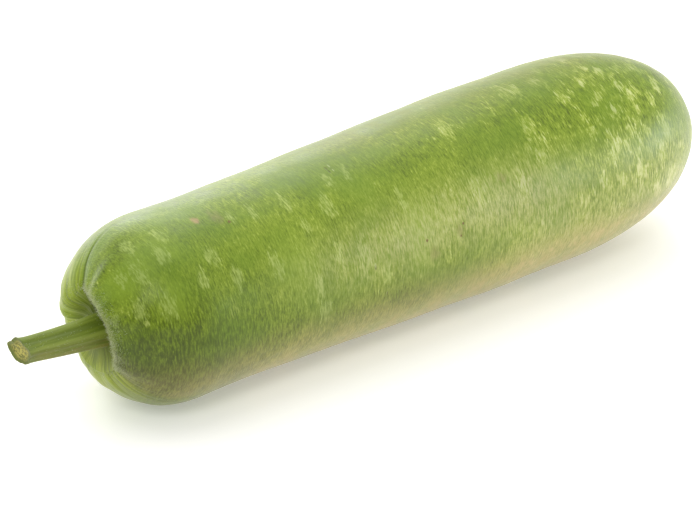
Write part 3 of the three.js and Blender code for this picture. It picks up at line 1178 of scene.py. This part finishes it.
def make_stem(shift):
    """The stem, with the weight of its hairs."""
    angles = np.radians(side_angles(STEM_SIDES))
    body = stem_body(angles)
    face, face_share = cut_face(body[0])
    points = np.concatenate([face, body])
    arcs = np.concatenate([[0], np.cumsum(np.linalg.norm(np.diff(points[:, 0], axis=0), axis=1))])
    cut = np.zeros(points.shape[:2])
    cut[:STEM_FACE_RINGS] = 1
    rim = np.zeros_like(cut)
    rim[:STEM_FACE_RINGS] = face_share
    near_cut = fading(arcs - arcs[STEM_FACE_RINGS], BRUISE_LENGTH)[:, None]
    every_ring = np.ones((len(points), 1))
    fields = {
        "skin": np.stack([np.repeat(arcs[:, None], STEM_SIDES, 1), points[..., 1], points[..., 2]], -1),
        "cut": cut,
        "rim": rim,
        "near_cut": near_cut * (1 - cut),
        "rib": every_ring * np.cos(RIB_COUNT * angles),
        "under": every_ring * np.clip(-np.cos(angles + SCUFF_TURN), 0, 1),
    }
    made = lathe_object("gourd_stem", laid(points) + shift, arcs, fields)
    made.data.materials.append(stem_material())
    return made, (1 - cut).ravel()


def unit(vectors):
    return vectors / np.linalg.norm(vectors, axis=1)[:, None]


def vertex_values(mesh, key):
    """One vector for each vertex of a mesh."""
    values = np.empty(len(mesh.vertices) * 3)
    mesh.vertices.foreach_get(key, values)
    return values.reshape(-1, 3)


def make_hairs(name, grown_on, weight, count, lengths, material):
    """Short three-sided needles that stand on randomly picked points of a piece."""
    picked = random.choice(len(weight), count, p=weight / weight.sum())
    base = vertex_values(grown_on.data, "co")[picked]
    normal = vertex_values(grown_on.data, "normal")[picked]
    lean = unit(normal + random.normal(scale=HAIR_SPREAD, size=(count, 3)))
    side = unit(np.cross(lean, random.normal(size=(count, 3))))
    other = np.cross(lean, side)
    length = random.uniform(*lengths, size=(count, 1)) * MM
    root = base - HAIR_SINK * MM * lean
    corners = [root + HAIR_RADIUS * MM * (math.cos(turn) * side + math.sin(turn) * other)
               for turn in (0, 2 * math.pi / 3, 4 * math.pi / 3)]
    vertices = np.stack(corners + [base + lean * length], 1)
    start = np.arange(count)[:, None] * 4
    triangles = ((0, 1, 3), (1, 2, 3), (2, 0, 3), (2, 1, 0))
    faces = np.concatenate([start + np.array(triangle) for triangle in triangles])
    mesh = bpy.data.meshes.new(name)
    mesh.from_pydata(vertices.reshape(-1, 3).tolist(), [], faces.tolist())
    tip = mesh.attributes.new("tip", "FLOAT", "POINT")
    tip.data.foreach_set("value", np.tile([0, 0, 0, 1], count).astype(np.float32))
    mesh.materials.append(material)
    return add_object(name, mesh)


# Floor and light

def make_floor():
    bpy.ops.mesh.primitive_plane_add(size=FLOOR_SIZE, location=(0, 0, -FLOOR_DROP))
    made = bpy.context.object
    made.name = "floor"
    made.data.materials.append(floor_material())


def soft_light(name, place, target, size, power, colour=WHITE):
    data = bpy.data.lights.new(name, "AREA")
    data.shape = "RECTANGLE"
    data.size, data.size_y = size
    data.energy = power
    data.color = linear(colour)[:3]
    made = add_object(name, data)
    made.location = place
    made.rotation_euler = (Vector(target) - Vector(place)).to_track_quat("-Z", "Y").to_euler()


def make_studio():
    """Plain light from all round, stronger on one side."""
    world = bpy.data.worlds.new("studio")
    world.use_nodes = True
    tree = world.node_tree
    toward = tree.nodes.new("ShaderNodeVectorMath")
    toward.operation = "DOT_PRODUCT"
    toward.inputs[1].default_value = BRIGHT_SIDE
    tree.links.new(tree.nodes.new("ShaderNodeTexCoord").outputs["Generated"], toward.inputs[0])
    spread = smooth_range(tree, AMBIENT_RANGE)
    tree.links.new(toward.outputs["Value"], spread.inputs["Value"])
    tree.links.new(spread.outputs["Result"], tree.nodes["Background"].inputs["Strength"])
    tree.nodes["Background"].inputs["Color"].default_value = linear(WHITE)
    bpy.context.scene.world = world


def make_light():
    make_studio()
    for row in LIGHTS:
        soft_light(*row)
    bpy.context.scene.view_settings.view_transform = "Standard"


make_camera()
make_floor()
make_light()
fruit, axis_shift, fruit_hairiness = make_fruit()
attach(fruit, "root")
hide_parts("fruit")
stem, stem_hairiness = make_stem(axis_shift)
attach(stem, "root")
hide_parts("stem")
hair = hair_material()
fruit_hairs = make_hairs("gourd_fruit_hairs", fruit, fruit_hairiness, SKIN_HAIRS, SKIN_HAIR_LENGTHS, hair)
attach(fruit_hairs, "root")
stem_hairs = make_hairs("gourd_stem_hairs", stem, stem_hairiness, STEM_HAIRS, STEM_HAIR_LENGTHS, hair)
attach(stem_hairs, "root")
